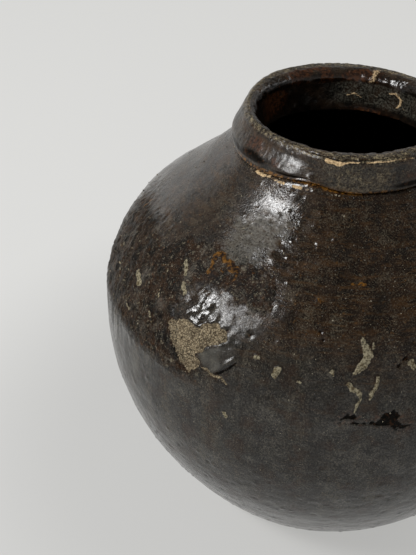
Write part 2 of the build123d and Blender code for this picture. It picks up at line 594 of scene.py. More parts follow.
def stroke(points, pixels, widths, ragged=0.6, seed=11):
    """A stroke's edge distance at every point, with a ragged edge."""
    gap = np.full(len(points), NEAR)
    near, flat, line = drawn(points, pixels)
    if len(near):
        gap[near] = stroke_gap(flat, line, widths) + ragged * lumps(points[near], 2.3, seed)
    return gap


def patch(points, pixels, ragged=1.4, seed=12):
    """A closed patch's edge distance at every point, with a ragged edge."""
    gap = np.full(len(points), NEAR)
    near, flat, corners = drawn(points, pixels)
    if len(near):
        gap[near] = outline_gap(flat, corners) + ragged * lumps(points[near], 3.0, seed)
    return gap


def mound(points, pixel, across, up):
    """A soft round swelling with 1 at its crown."""
    near, flat = drawn(points, (pixel,))[:2]
    height = np.zeros(len(points))
    if len(near):
        height[near] = hump(flat[:, 0], 0, across) * hump(flat[:, 1], 0, up)
        height[near] *= 1 - ease(np.linalg.norm(flat, axis=1), 0.7 * NEAR, NEAR)
    return height


def mounds(points, table):
    """The sum of soft swellings, each a height, a pixel and its half sizes across and up."""
    return sum(height * mound(points, *place) for height, *place in table)


def covered(gap, soft=0.7):
    """1 inside a mark and 0 outside, from its edge distance."""
    return ease(-gap, -soft, soft)

# %% [markdown]
# The kiln scar is the jar's main feature. A neighbour stuck to the swelling in the firing and tore
# its glaze away, which left a sandy patch with a sharp broken edge, a smooth flap of glaze beside
# it and a thin crack running off below. The pale runs are ash that dripped on the shoulder and
# dried to a crust. All of them are read off the photograph as pixel outlines.

# %% The marks of the photograph, as pixels
CROWN_PX = (200, 341)
GLINT_PX = (206, 313)
SATIN_PX = (243, 322)
SCAR_PX = (
    (171, 322), (175, 319), (184, 320), (191, 319), (199, 328), (209, 324), (219, 324), (227, 332),
    (228, 341), (219, 343), (211, 346), (207, 350), (201, 352), (198, 355), (202, 360), (200, 368),
    (190, 370), (182, 360), (178, 350), (174, 337),
)
FLAP_PX = ((203, 353), (215, 347), (235, 346), (238, 357), (226, 366), (216, 371), (206, 366))
FLAP_LIP_PX = ((213, 370), (221, 368), (229, 364), (236, 359))
CRACK_PX = ((203, 366), (209, 369), (214, 375), (222, 378), (227, 384))
AMBER_SPOTS_PX = (
    (((212, 266), (214, 260), (217, 255)), (0.6, 1.4, 1.6)),
    (((219, 254), (223, 256), (225, 261)), (1.6, 2.0, 1.0)),
    (((228, 263), (232, 267), (236, 272), (235, 279)), (1.7, 2.9, 2.3, 0.8)),
    (((208, 272), (212, 268)), (1.0, 0.7)),
    (((222, 270), (224, 272)), (0.8, 0.6)),
    (((352, 284), (358, 285), (366, 285)), (0.4, 0.9, 0.5)),
    (((318, 300), (321, 301)), (0.7, 0.4)),
)
BUBBLE_PX = (274, 259)
CRUST_RUNS_PX = (
    (
        ((363, 340), (366, 348), (369, 356), (364, 364), (358, 370), (353, 375)),
        (1.6, 2.2, 3.0, 2.8, 2.2, 0.8),
    ),
    (((373, 344), (374, 350), (370, 356)), (0.8, 0.9, 0.6)),
    (((349, 384), (352, 389), (357, 392)), (1.8, 2.4, 1.2)),
    (((358, 391), (361, 398), (357, 405), (354, 412)), (1.4, 1.3, 1.2, 0.5)),
    (((378, 378), (376, 386), (371, 394), (369, 401)), (1.2, 1.2, 1.2, 0.7)),
    (((278, 370), (275, 375)), (2.8, 2.2)),
    (((224, 413), (226, 416)), (1.4, 1.0)),
    (((256, 356), (259, 358)), (1.3, 0.9)),
    (((298, 381), (300, 383)), (1.2, 0.8)),
    (((332, 372), (334, 376)), (1.4, 1.0)),
    (((411, 363), (414, 367)), (2.6, 1.8)),
    (((186, 259), (187, 268), (186, 276)), (1.3, 1.9, 1.1)),
    (((184, 284), (186, 293)), (1.6, 1.9)),
    (((139, 272), (140, 283)), (2.5, 2.8)),
    (((150, 311), (152, 323)), (0.8, 1.1)),
    (((161, 287), (159, 297)), (0.5, 0.9)),
    (((120, 262), (121, 270)), (0.5, 0.7)),
    (((127, 300), (129, 309)), (0.5, 0.8)),
    (((170, 261), (168, 272)), (0.4, 0.8)),
)
SOOT_RUNS_PX = (
    (
        ((338, 424), (346, 422), (357, 424), (366, 423), (376, 424), (384, 422), (394, 422),
         (403, 427), (411, 424)),
        (0.2, 0.6, 0.4, 0.5, 0.9, 2.4, 2.4, 1.2, 0.3),
    ),
    (((381, 419), (387, 415), (393, 413), (399, 416)), (1.2, 2.6, 2.3, 0.7)),
    (((388, 421), (394, 428), (399, 433)), (1.2, 1.0, 0.3)),
    (((341, 420), (348, 415), (355, 418)), (0.5, 1.5, 0.6)),
    (((398, 366), (404, 360), (408, 356)), (0.4, 0.9, 0.4)),
)
CRATERS_PX = (
    (323, 340), (320, 332), (229, 331), (205, 318), (192, 300), (179, 303), (213, 307), (251, 335),
)
BURNT_PX = (
    (158, 250), (184, 238), (214, 240), (230, 250), (250, 256), (268, 268), (276, 290), (272, 312),
    (254, 318), (238, 306), (224, 293), (200, 290), (184, 296), (166, 298),
)
# The haze below the neck is grey ash speckle, and painted sheen for the window's spread reflection.
HAZE_AND_SHEEN_PX = (
    (286, 216), (266, 213), (248, 216), (230, 228), (222, 252), (234, 267), (256, 262), (270, 248),
    (284, 232),
)
# Pale ash blobs. The last one, right of the blister, is painted sheen for a broad reflection.
ASH_AND_SHEEN_SPOTS = (
    (0.7, (143, 277), 5, 8), (0.5, (189, 276), 4, 12), (0.5, (161, 303), 8, 6),
    (0.3, (238, 328), 12, 16),
)

# %% The marks as distances from their edges
UNSEEN_RUNS, HIGHEST_RUN = 22, 262


def unseen_runs(seed, longest, widest, lowest):
    """Runs like the photographed ones for the sides that the photograph doesn't show."""
    chance = np.random.default_rng(seed)
    runs = []
    for _ in range(UNSEEN_RUNS):
        azimuth, height = chance.uniform(-32, 186), chance.uniform(lowest, HIGHEST_RUN)
        drops = np.linspace(0, chance.uniform(0.1, 1) ** 2 * longest + 2, chance.integers(2, 5))
        sways = np.cumsum(chance.normal(0, 0.9, len(drops)))
        line = [on_wall(azimuth + sway, height - drop) for sway, drop in zip(sways, drops)]
        runs.append((line, chance.uniform(0.25, 1, len(drops)) * widest))
    return tuple(runs)


def drips(points, table, ragged, seed):
    """The distance from the nearest edge of many strokes."""
    gaps = [stroke(points, *run, ragged, seed + k) for k, run in enumerate(table)]
    return np.min(gaps, axis=0)


def wall_marks(points):
    """Edge distances of the shoulder's marks, by name."""
    return {
        "scar": patch(points, SCAR_PX),
        "flap": patch(points, FLAP_PX, 0.4, 13),
        "lip": stroke(points, FLAP_LIP_PX, (0.5, 1.5, 1.6, 0.6), 0.3, 14),
        "slit": stroke(points, np.add(FLAP_LIP_PX, (1, 4)), (0.3, 0.9, 0.9, 0.3), 0.4, 20),
        "crack": stroke(points, CRACK_PX, (0.5, 0.8, 1.0, 1.0, 0.7), 0.4, 15),
        "amber": drips(points, AMBER_SPOTS_PX + unseen_runs(93, 4, 1.6, 215), 1.0, 16) - 0.3,
        "crust": drips(points, CRUST_RUNS_PX + unseen_runs(91, 26, 2.6, 95), 0.9, 31) + 0.25,
        "soot": drips(points, SOOT_RUNS_PX + unseen_runs(92, 6, 1.7, 90), 1.5, 51),
        "haze_and_sheen": patch(points, HAZE_AND_SHEEN_PX, 8.0, 19),
        "burnt": patch(points, BURNT_PX, 5.0, 29),
    }

# %% [markdown]
# Now the wall's relief, in millimetres outwards. From large to small it is: the slow sway of a form
# made by eye, the flats left by the paddle, the rings of the wheel, then the crusted skin of ash on
# the left, pits and pimples, and last the marks above. The belly may never grow past the solid
# model.

# %% Relief of the wall
PIT_COUNT = 2400


def pits_and_pimples(points, azimuth, height):
    """Small round hollows and beads scattered over the whole wall, from a fixed seed."""
    chance = np.random.default_rng(5)
    order = np.argsort(height, kind="stable")
    sorted_height = height[order]
    relief = np.zeros(len(points))
    for _ in range(PIT_COUNT):
        az, z = chance.uniform(-180, 180), chance.uniform(slab_top, neck_root)
        size, depth = chance.uniform(0.7, 1.9), chance.choice((-0.55, -0.4, -0.3, 0.3, 0.45, 0.6))
        low, high = np.searchsorted(sorted_height, (z - 3 * size, z + 3 * size))
        band = order[low:high]
        band = band[np.abs(degrees_from(azimuth[band], az)) < 6]
        reach = np.linalg.norm(points[band] - on_wall(az, z), axis=1) / size
        relief[band] += depth * hump(reach, 0, 1)
    return relief


def wheel_rings(points, height, pitch, seed):
    """Rings left by the wheel, which rise and fall a little and fade round the wall."""
    line = np.zeros((len(points), 3))
    line[:, 2] = height + 1.2 * lumps(points, 60, seed + 1)
    return lumps(line, pitch, seed) * (0.65 + 0.35 * lumps(points, 45, seed + 2))

# %% The wall's own unevenness


def wall_zones(points, azimuth, height):
    """Where ash baked on as a crust, where the glaze is thick and smooth, and the wiped foot."""
    crust_end = ease(height + 7 * lumps(points, 16, 56), 244, 262)
    crusty = facing(azimuth, -156, 46) * ease(height, 180, 204) * (1 - crust_end)
    smooth = facing(azimuth, -172, 60) * ease(height, 244, 262)
    wiped = 1 - ease(height + lumpy(points, (3, 16, 58), (1, 4, 59)), 15.5, 17)
    return crusty, smooth, wiped


def skin_relief(points, azimuth, height, crusty, smooth):
    """The wall's own unevenness in mm, from the sway of the form down to pits and pimples."""
    calm = (1 - 0.7 * smooth) * (1 - 0.75 * mound(points, SATIN_PX, 19, 24))
    relief = lumpy(points, (0.45, 130, 1), (0.35, 36, 2))
    relief += calm * lumpy(points, (0.16, 13, 3), (0.12, 5.5, 4), (0.06, 2.9, 5))
    near_neck = ease(height, neck_root - 34, neck_root - 6)
    near_neck *= 0.05 + 0.19 * facing(azimuth, 172, 62)
    for depth, pitch, seed in ((0.16, 9.0, 31), (0.08, 3.2, 34), (near_neck, 1.9, 37)):
        relief += depth * wheel_rings(points, height, pitch, seed)
    blobs = np.maximum(lumps(points, 6.0, 41), 0) + 0.6 * np.maximum(lumps(points, 3.2, 42), 0)
    relief += crusty * (0.95 * blobs + 0.5 * lumps(points * (1, 1, 0.6), 3.0, 60))
    wrinkled = facing(azimuth, -176, 28) * ease(height, 160, 185) * (1 - ease(height, 240, 270))
    relief += 0.75 * wrinkled * lumps(points * (1, 1, 0.09), 2.8, 43)
    pitted = calm * (0.62 + 0.25 * facing(azimuth, -104, 70)) + 0.6 * crusty
    relief += pitted * pits_and_pimples(points, azimuth, height)
    hollow = facing(azimuth, 143, 52) * ease(height, 232, 254) * (1 - ease(height, 270, 288))
    keel = hump(height - lumps(points, 30, 47), belly_seam + 1.0, 0.9)
    return relief - 2.6 * hollow - 0.14 * keel * np.maximum(0.3 + lumps(points, 14, 48), 0)

# %% Relief of the marks


def mark_relief(points, marks):
    """The relief in mm of the blister, its scar and flap, and the smaller marks."""
    scar, flap = covered(marks["scar"], 0.5), covered(marks["flap"])
    relief = mound(points, CROWN_PX, 30.0, 17.5) * (6.4 + 0.4 * lumps(points, 8, 44))
    relief -= scar * (1.3 + lumpy(points, (0.6, 2.7, 45), (0.3, 4.5, 46)))
    relief += flap * (1 - scar) * (1.6 * mound(points, (225, 359), 12, 8) - 0.8)
    relief += 2.0 * covered(marks["lip"], 1.9) - 1.4 * covered(marks["slit"], 0.4)
    relief += 0.3 * covered(marks["amber"], 0.9) - 0.9 * covered(marks["crack"], 0.5)
    relief += covered(marks["crust"], 0.8) * (0.6 + 0.4 * lumps(points, 2.4, 50))
    relief -= covered(marks["soot"], 0.6) * (0.9 + 0.8 * lumps(points, 2.6, 49))
    for pixel in CRATERS_PX:
        craters = ((-1.0, pixel, 1.7, 1.7), (0.5, pixel, 3.4, 3.4), (-0.5, pixel, 2.4, 2.4))
        relief += mounds(points, craters)
    return relief + 0.5 * mound(points, BUBBLE_PX, 3.4, 3.4)

# %% Where each finish lies on the wall
AMBER_LEVEL = (
    (-156, 1.4), (-134, 1.2), (-120, 1.0), (-112, -0.2), (-104, -0.2), (-92, 0.6), (-77, 1.4),
)
BARE_LEVEL = ((-150, -0.9), (-134, -1.1), (-127, -2.1), (-116, -2.4))


def read_off(table, azimuth):
    """A value given at directions in degrees, read straight between them."""
    return np.interp(azimuth, *np.array(table).T)


def groove_masks(points, azimuth, height):
    """Amber glaze that pooled in the groove under the rim, and bare clay in a line below it."""
    level = height - neck_root + 0.5 * lumps(points, 9, 53)
    above = np.abs(level - read_off(AMBER_LEVEL, azimuth))
    below = np.abs(level - read_off(BARE_LEVEL, azimuth))
    wide = 0.5 + 0.6 * facing(azimuth, -136, 36)
    pooled = facing(azimuth, -118, 62) * (1 - ease(above, wide, wide + 1.0))
    broken = ease(lumps(points, 5, 54) + 0.5 * mound(points, (281, 183), 5, 5), -0.3, 0.2)
    broken *= 0.35 + 0.65 * ease(lumps(points, 2.2, 62), -0.45, 0.0)
    bare = facing(azimuth, -132, 26) * (1 - ease(below, 0.1, 0.95)) * broken
    return {"amber": pooled, "bare": bare}

# %% The wall's relief and masks


def ring_round(gap, wide, soft):
    """A ring just outside a mark, from its edge distance."""
    return covered(gap - wide, soft) - covered(gap, soft)


def wall_masks(points, azimuth, height, marks, crusty, smooth, wiped):
    """Where each finish lies on the wall, from 0 to 1."""
    scar, soot = covered(marks["scar"], 0.5), covered(marks["soot"], 0.6)
    # Painted shade: dark in the craters, in rings round the crusts and the scar, and in the slit.
    crater_shade = np.max([mound(points, pixel, 1.3, 1.3) for pixel in CRATERS_PX], axis=0)
    edge_shade_rings = 0.5 * ring_round(marks["crust"], 1.2, 0.6) + 0.5 * ring_round(marks["scar"], 0.7, 0.4)
    upper = ease(height + lumpy(points, (22, 50, 51), (13, 17, 52)), 198, 260)
    torn = (covered(marks["scar"] - 0.2, 2.4), covered(marks["crack"], 0.6), wiped)
    scab = np.maximum(crusty, covered(marks["burnt"], 4))
    masks = {
        "torn": np.max(torn, axis=0),
        "crust": covered(marks["crust"], 0.8),
        "satin": np.maximum(mound(points, SATIN_PX, 21, 26), 0.6 * smooth),
        "rust": 0.4 * (covered(marks["soot"] - 3.0, 1.5) - soot) * ease(-height, -206, -198),
        # The near black here is real black runs, and painted shade in the craters, slit and rings.
        "soot": np.max((soot, crater_shade, covered(marks["slit"], 0.4)), axis=0) + edge_shade_rings,
        # The flap's grey is its smoother glaze, made lighter as painted sheen for its satin
        # reflection.
        "flap": covered(marks["flap"]) * (1 - scar),
        # Ash, and painted sheen: the haze and the spot right of the blister are greyer for a
        # reflection.
        "ash": np.maximum(0.85 * covered(marks["haze_and_sheen"], 8), mounds(points, ASH_AND_SHEEN_SPOTS)),
        "warm": upper * (0.72 + 0.28 * facing(azimuth, -74, 52)),
        "scab": scab * (1 - mound(points, GLINT_PX, 24, 16)),
        **groove_masks(points, azimuth, height),
    }
    masks["amber"] = np.maximum(masks["amber"], covered(marks["amber"], 0.7))
    return masks


def wall_relief(points, azimuth, height):
    """Relief in mm and the finishes' masks at points of the wall's outside."""
    marks = wall_marks(points)
    crusty, smooth, wiped = wall_zones(points, azimuth, height)
    relief = skin_relief(points, azimuth, height, crusty, smooth) + mark_relief(points, marks)
    return relief - 0.25 * wiped, wall_masks(points, azimuth, height, marks, crusty, smooth, wiped)

# %% [markdown]
# The rim was rolled over by hand and has been knocked and rubbed ever since. It leans back a
# little, its outer corner is rolled well in on the left and left square at the front, and its lower
# edge wanders over a groove in which amber glaze has pooled. These are changes of shape rather than
# of skin, so they are given by direction round the axis, in degrees, and they shift every member
# alike.

# %% Handwork on the neck and the rim
ROLLED_IN = (
    (-180, 7.0), (-165, 7.4), (-150, 7.8), (-133, 7.5), (-120, 5.5), (-110, 2.0), (-102, 0.5),
    (-80, 1.0), (-60, 3.0), (-20, 4.0), (30, 2.0), (60, 0.0), (85, -1.2), (105, -2.2), (125, -1.4),
    (145, 3.2), (160, 6.6),
)
GROOVE_RISE = (
    (-180, 0.0), (-156, 0.8), (-146, 1.0), (-135, 2.2), (-126, 4.2), (-117, 6.0), (-111, 6.0),
    (-103, 3.0), (-95, 1.0), (-72, 0.6), (-62, 1.4), (-30, 0.0), (30, 1.2), (90, -0.8), (140, 1.0),
)
GROOVE_FILL = (
    (-180, 2.0), (-165, 3.6), (-150, 4.6), (-112, 4.6), (-96, 4.0), (-84, 2.4), (-60, 1.6),
    (0, 1.0), (90, 0.6), (150, 0.6),
)
LEAN_BACK = 3.0
SOFTENED = 13


def round_the_axis(azimuth, table):
    """A value given at directions round the axis, read smoothly between them."""
    directions, values = np.array(table, float).T
    fine = np.arange(-180, 180)
    run = np.interp(fine, directions, values, period=360)
    soft = np.hanning(SOFTENED) / np.hanning(SOFTENED).sum()
    ends = SOFTENED - 1
    run = np.concatenate((run[-ends:], run, run[:ends]))
    return np.interp(azimuth, fine, np.convolve(run, soft, "same")[ends:-ends], period=360)


def handwork(points, azimuth, height):
    """The shift in mm of points near the mouth from the true turned form."""
    radius = np.hypot(points[:, 0], points[:, 1])
    outer = ease(radius, ring_radius - 1.0, ring_radius + 2.0)
    roll = ease(height, neck_root + 4.0, rim_top - 1.0) * ease(radius, 66, 82)
    below = ease(height, neck_root - 34, neck_root - 1.5)
    ledge = np.where(height < neck_root - 1.5, below, hump(height, neck_root - 1.5, 2.6))
    fill = (ledge - 0.3 * hump(height, neck_root + 4.5, 3.0)) * outer
    outwards = round_the_axis(azimuth, GROOVE_FILL) * fill
    outwards -= round_the_axis(azimuth, ROLLED_IN) * roll
    rise = round_the_axis(azimuth, GROOVE_RISE) * hump(height, neck_root, 6.5) * outer
    angle = np.radians(azimuth)
    lean = LEAN_BACK * ease(height, neck_root - 10, rim_top)
    return np.stack((outwards * np.cos(angle), outwards * np.sin(angle) + lean, rise), axis=1)


print("rolled in at the left, mm:", round_the_axis(np.array([-170.0]), ROLLED_IN).round(2))

# %% [markdown]
# The rim's skin is granular on top, where ash settled, and worn to bare clay along the outer edge.
# A swelling on its face catches the window. Marks here are soft blots at a direction and a height.
# Dark blots along the rim's lower face and in its crease are partly painted shade under the roll.

# %% Relief of the rim
WORN_LINE = (
    (-110, 1.6), (-106, 2.4), (-102, 3.3), (-99, 3.0), (-95, 1.6), (-80, 1.5), (-72, 1.6),
    (-64, 3.0), (-50, 3.0),
)
RIM_SWELLINGS = (
    (2.4, -125, 310.5, 9, 6), (1.0, -150, 310, 10, 6), (-0.9, -108, 316, 7, 8),
    (-0.8, -137, 308, 5, 7), (2.0, -113.5, 309, 1.6, 3.0),
)
RIM_RUST = ((1.0, -151, 317, 9, 4.5), (0.6, -134, 312, 6, 5), (0.5, -66, 312, 8, 6))
# Dark blots on the rim's lower face: partly dark glaze, partly painted shade under the roll.
RIM_SOOT_AND_SHADE = (
    (1.1, -147, 310.5, 9, 3.4), (1.0, -123, 307.0, 9, 2.2), (1.0, -66, 307, 11, 2.6),
    (1.0, -166, 307.5, 15, 2.6),
)


def blots(azimuth, height, table):
    """The sum of soft blots, each a strength, its place in degrees and mm, and its half sizes."""
    return sum(
        strength * hump(degrees_from(azimuth, direction), 0, wide) * hump(height, level, tall)
        for strength, direction, level, wide, tall in table
    )


def worn_edge(points, azimuth, height, radius):
    """How far down the lip a point is from the worn line, and how bare it is rubbed there."""
    down_the_lip = radius - height - (rim_top_radius - rim_top)
    from_line = down_the_lip - read_off(WORN_LINE, azimuth) + 0.5 * lumps(points, 5, 69)
    wide = 1.4 * facing(azimuth, -103.5, 6) + 0.65
    wearing = ease(azimuth, -109, -106.5) * (1 - 0.5 * ease(azimuth, -84, -74)) * (azimuth < -52)
    kept = lumps(points, 5, 60) + 0.7 * facing(azimuth, -104, 9) + 0.3 * facing(azimuth, -94, 16)
    rubbed = wearing * (1 - ease(np.abs(from_line), wide - 0.4, wide + 0.5)) * ease(kept, -0.5, 0.0)
    return from_line, rubbed

# %% The rim's relief and masks


def rim_masks(points, azimuth, height, top, face, inner, deep, mouth_edge, crease):
    """Where each finish lies on the rim, but for its bare and torn clay, from 0 to 1."""
    rust = blots(azimuth, height, RIM_RUST) + mouth_edge * facing(azimuth, 93, 44)
    # Painted shade in the crease, and darker on the mouth's inner edge towards the back left.
    soot = blots(azimuth, height, RIM_SOOT_AND_SHADE) + 0.8 * crease
    soot += 0.9 * mouth_edge * (1 - top) * facing(azimuth, 163, 50)
    ashy = face * (0.36 * facing(azimuth, -92, 28) + 0.03) + 0.2 * top
    grain = np.clip(top + 0.4 * face * facing(azimuth, -90, 26), 0, 1)
    return {
        "rust": np.clip(rust * ease(lumps(points, 8, 59), -0.9, 0.2), 0, 1),
        "soot": np.clip(soot, 0, 1),
        "grain": grain * (1 - mouth_edge),
        "warm": np.full(len(points), 0.9),
        "satin": 0.7 * face,
        "ash": np.clip(ashy, 0, 1) * (1 - inner),
        "inner": np.clip(deep + 0.85 * inner, 0, 1),
        "amber": groove_masks(points, azimuth, height)["amber"],
    }


def rim_relief(points, azimuth, height):
    """Relief in mm and the finishes' masks at points of the rolled rim."""
    radius = np.hypot(points[:, 0], points[:, 1])
    top = ease(height, rim_top - 4.0, rim_top - 1.0)
    face = ease(radius, rim_radius - 4.5, rim_radius - 1.5) * (1 - top)
    inner = 1 - ease(radius, mouth_radius + 1.0, mouth_radius + 5.0)
    deep = inner * (1 - ease(height, ring_top, ring_top + 5.0))
    mouth_edge = ease(-radius, -75.0, -71.5) * (1 - deep)
    drip = mouth_edge * facing(azimuth + 3 * lumps(points, 6, 58), 66, 3.6)
    from_line, rubbed = worn_edge(points, azimuth, height, radius)
    crease = facing(azimuth, -98, 30) * hump(from_line, -3.0, 0.8)

    relief = lumpy(points, (0.4, 34, 61), (0.3, 13, 62)) - 0.2
    relief += top * lumpy(points, (0.25, 4.5, 63), (0.18, 2.2, 64))
    relief -= 0.6 * top * ease(lumps(points, 4.5, 65), 0.4, 0.65)
    relief += inner * (1 - deep) * (0.6 + lumps(points, 8, 66))
    relief += face * lumpy(points, (0.25, 6, 67), (0.16, 2.4, 73))
    relief += 0.1 * face * wheel_rings(points, height, 2.4, 68)
    relief += blots(azimuth, height, RIM_SWELLINGS) - 0.6 * crease + 0.8 * drip
    relief += mouth_edge * facing(azimuth, 50, 14) * 0.45 * lumps(points, 2.8, 55)
    relief += mouth_edge * 0.35 * lumps(points, 4.0, 57)

    masks = rim_masks(points, azimuth, height, top, face, inner, deep, mouth_edge, crease)
    masks.update(bare=np.maximum(rubbed, 0.5 * drip), torn=np.zeros(len(points)))
    inside, inside_masks = inside_relief(points, azimuth, height)
    for name in ("bare", "torn", "rust", "ash"):
        masks[name] = masks[name] * (1 - deep) + deep * inside_masks[name]
    return relief * (1 - deep) + inside * deep, masks

# %% Relief of the inside
ARC_SPOTS = ((83, 307.3), (77.5, 309.4), (72, 306.0))
CRESCENT_SPOTS = ((53, 313.8), (48, 315.0), (43.5, 311.5), (44.6, 307.0), (47, 304.0))
INSIDE_SWELLINGS = ((-1.2, 47, 307.5, 4.5, 4.0), (1.6, 66, 316, 2.5, 5), (0.8, 46, 318, 8, 4))
INSIDE_RUST = ((1.2, 141, 310, 14, 11),)


def ring_stroke(azimuth, height, spots, wide):
    """A stroke drawn inside the neck through (degrees, mm) spots."""
    directions, levels = np.array(spots).T
    first = directions[0]
    line = np.stack((np.radians(directions - first) * mouth_radius, levels), axis=1)
    flat = np.stack((np.radians(degrees_from(azimuth, first)) * mouth_radius, height), axis=1)
    widths = [0.5 * wide, *[wide] * (len(spots) - 2), 0.5 * wide]
    return covered(stroke_gap(flat, line, widths), 0.6)


def inside_relief(points, azimuth, height):
    """Relief in mm, towards the axis, and the finishes' masks inside the neck and the wall."""
    in_neck = ease(height, neck_seam, neck_root - 12)
    lip = hump(height - 1.5 * lumps(points, 11, 81), seat_height, 3.2)
    arcs = ring_stroke(azimuth, height, ARC_SPOTS, 0.7)
    arcs = np.maximum(arcs, ring_stroke(azimuth, height, CRESCENT_SPOTS, 1.1))
    relief = 0.5 * lumps(points, 40, 82) + in_neck * lumpy(points, (0.8, 10, 83), (0.35, 4, 84))
    relief += 0.9 * lip * (0.5 + 0.5 * lumps(points, 8, 85))
    relief += 0.9 * arcs + blots(azimuth, height, INSIDE_SWELLINGS)
    band = ease(height, 314, 320) * (0.4 + 0.6 * facing(azimuth, 95, 50))
    rust = 0.8 * band + blots(azimuth, height, INSIDE_RUST) + 0.7 * lip * facing(azimuth, 60, 30)
    ashy = facing(azimuth, 55, 55) * ease(height, 298, 304) * (1 - ease(height, 316, 322))
    masks = {
        "rust": np.clip(rust * ease(lumps(points, 10, 86), -0.9, 0.4), 0, 1) * in_neck,
        "bare": 0.72 * arcs,
        "torn": np.clip(0.4 * ashy * ease(lumps(points, 5, 87), 0.35, 0.7), 0, 1),
        "ash": ashy,
        "inner": np.ones(len(points)),
    }
    return relief, masks

# %% [markdown]
# Sculpting a member is then one pass over its points. Where the section says that the skin may
# move, the point slides along its own direction out of the clay, by the relief there. The masks are
# kept on the mesh as attributes, which the glaze below reads. Lathing can turn a shell inside out,
# so its volume is measured and its faces are flipped if it comes out negative.

# %% Reading a mesh
MASKS = (
    "torn", "crust", "rust", "soot", "flap", "ash", "satin", "warm", "bare", "scab", "grain",
    "inner", "amber",
)
BELLY_ROOM, RIM_ROOM = 0.1, 0.02
SAME_LEVEL = 1e-3


def read(mesh, name, kind, width):
    """The values that a mesh holds under a name, one row for each point."""
    values = np.zeros(len(mesh.vertices) * width)
    mesh.attributes[name].data.foreach_get(kind, values)
    return values.reshape(-1, width) if width > 1 else values


def volume(mesh):
    """The signed volume inside a closed mesh, in cubic metres."""
    mesh.calc_loop_triangles()
    corners = np.zeros(len(mesh.loop_triangles) * 3, np.int32)
    mesh.loop_triangles.foreach_get("vertices", corners)
    a, b, c = read(mesh, "position", "vector", 3)[corners.reshape(-1, 3)].transpose(1, 0, 2)
    return float((a * np.cross(b, c)).sum() / 6)


def mark_corners(mesh, points, corner):
    """Keeps an edge sharp where it runs round the jar along a corner of the section."""
    ends = np.zeros(len(mesh.edges) * 2, np.int32)
    mesh.edges.foreach_get("vertices", ends)
    a, b = ends.reshape(-1, 2).T
    level = np.abs(points[a, 2] - points[b, 2]) < SAME_LEVEL
    level &= np.abs(np.hypot(*points[a, :2].T) - np.hypot(*points[b, :2].T)) < SAME_LEVEL
    sharp = level & (corner[a] > 0.5) & (corner[b] > 0.5)
    mesh.attributes.new("sharp_edge", "BOOLEAN", "EDGE").data.foreach_set("value", sharp)
    return int(sharp.sum())

# %% Sculpting a member


def sculpt(piece, outside_relief):
    """Moves a lathed member's skin by its relief and keeps the finishes' masks on its mesh."""
    mesh = piece.data
    points = read(mesh, "position", "vector", 3) / MM
    move, corner = read(mesh, "move", "value", 1), read(mesh, "corner", "value", 1)
    out = read(mesh, "out", "vector", 3)
    azimuth, height = np.degrees(np.arctan2(points[:, 1], points[:, 0])), points[:, 2]
    angle = np.radians(azimuth)
    direction = np.stack((out[:, 0] * np.cos(angle), out[:, 0] * np.sin(angle), out[:, 1]), axis=1)
    relief, masks = np.zeros(len(points)), {name: np.zeros(len(points)) for name in MASKS}
    for side, relief_of in ((move > 0, outside_relief), (move < 0, inside_relief)):
        if side.any():
            relief[side], found = relief_of(points[side], azimuth[side], height[side])
            for name, mask in found.items():
                masks[name][side] = mask
    final = points + direction * relief[:, None] + handwork(points, azimuth, height)
    reach = np.maximum(np.abs(final[:, :2]).max(axis=1), 1)
    final[:, :2] *= np.minimum(1, (belly_radius - BELLY_ROOM) / reach)[:, None]
    final[:, 2] = np.clip(final[:, 2], 0, rim_top - RIM_ROOM)
    sharp = mark_corners(mesh, points, corner)
    mesh.vertices.foreach_set("co", (final * MM).ravel())
    for name in ("move", "corner", "out"):
        mesh.attributes.remove(mesh.attributes[name])
    for name in MASKS:
        keep(mesh, name, masks[name])
    mesh.polygons.foreach_set("use_smooth", np.ones(len(mesh.polygons), bool))
    if volume(mesh) < 0:
        mesh.flip_normals()
    mesh.update()
    print(f"{piece.name}: {len(mesh.polygons) * 2} triangles, {sharp} sharp edges,", end=" ")
    print(f"relief {relief.min():.1f} to {relief.max():.1f} mm")

# %% [markdown]
# Every finish is mixed in the same way: a base colour, and over it one layer after another. A layer
# is its colour and the things that thin it out, which are multiplied: a plain share, a mask from
# the mesh, or the peaks of a noise between two levels. Peaks that run from a high level to a low
# one are the hollows of the noise. Noise sizes are real sizes in millimetres.

# %% Helpers for the finishes


def srgb(code):
    """A linear colour from an sRGB hex code."""
    channels = [int(code[k : k + 2], 16) / 255 for k in (1, 3, 5)]
    linear = [c / 12.92 if c <= 0.04045 else ((c + 0.055) / 1.055) ** 2.4 for c in channels]
    return (*linear, 1.0)


def per(size):
    """The noise scale that gives features about size mm across on Object coordinates."""
    return 1 / (size * MM)


def new_finish(name):
    """A new material, its empty node tree, and the place on the object where noises are read."""
    material = bpy.data.materials.new(name)
    material.use_nodes = True
    tree = material.node_tree
    tree.nodes.clear()
    return material, tree, add(tree, "ShaderNodeTexCoord").outputs["Object"]


def noise(tree, place, size, detail=2.0, rough=0.5, stretch=None):
    """A noise with features about size mm across."""
    if stretch:
        place = add(tree, "ShaderNodeMapping", {"Vector": place, "Scale": (1, 1, stretch)})
    values = {"Vector": place, "Scale": per(size), "Detail": detail, "Roughness": rough}
    return add(tree, "ShaderNodeTexNoise", values).outputs["Fac"]


def blend(tree, share, first, second):
    """A colour between two, each a hex code or another node's output."""
    ends = [srgb(c) if isinstance(c, str) else c for c in (first, second)]
    values = {0: share, 6: ends[0], 7: ends[1]}
    return add(tree, "ShaderNodeMix", values, data_type="RGBA").outputs[2]


def peaks(tree, source, low, high):
    """Picks out the peaks of a noise."""
    values = {"Value": source, "From Min": low, "From Max": high}
    return add(tree, "ShaderNodeMapRange", values, interpolation_type="SMOOTHSTEP")


